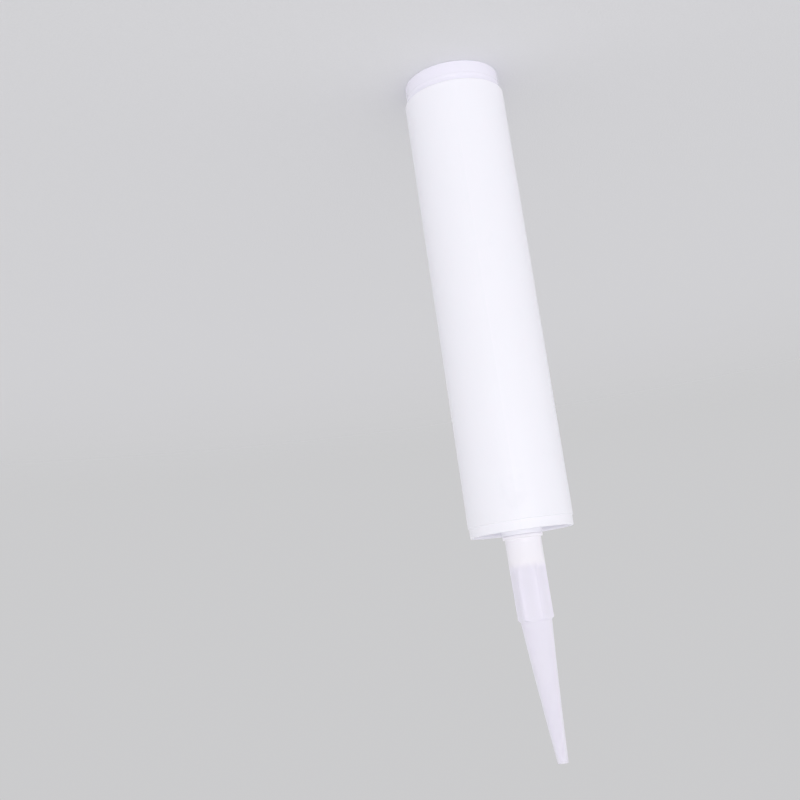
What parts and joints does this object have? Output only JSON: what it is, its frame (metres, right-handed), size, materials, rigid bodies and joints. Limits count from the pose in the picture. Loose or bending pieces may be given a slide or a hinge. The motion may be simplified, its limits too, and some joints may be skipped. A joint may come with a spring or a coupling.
{
  "type": "refillable caulk tube",
  "caption": "Empty white sealant cartridge with a long screw-on tapered nozzle and a push-in rear piston, standing on its rear end.",
  "frame": {"origin": "centre of the piston's rear rim, where the tube stands on its rear end", "axes": "+Z along the tube's axis from the rear end to the nozzle's tip; one flat of the nozzle's grip faces +X"},
  "size_m": [0.0488, 0.0488, 0.3279],
  "materials": {
    "white_plastic": "smooth opaque white polyethylene with a soft gloss",
    "clear_natural_plastic": "milky see-through natural polyethylene, soft and waxy",
    "natural_plastic": "milky natural polyethylene, a shade greyer than the barrel"
  },
  "bodies": {
    "barrel": {"barrel": "white_plastic"},
    "nozzle": {"nozzle": "clear_natural_plastic"},
    "piston": {"piston": "natural_plastic"}
  },
  "joints": [
    {"name": "piston_slide", "type": "slide", "parent": "barrel", "child": "piston", "axis": [0, 0, 1], "range_m": [-0.02, 0.195]},
    {"name": "nozzle_lift", "type": "slide", "parent": "barrel", "child": "nozzle", "axis": [0, 0, 1], "range_m": [0, 0.025]}
  ]
}
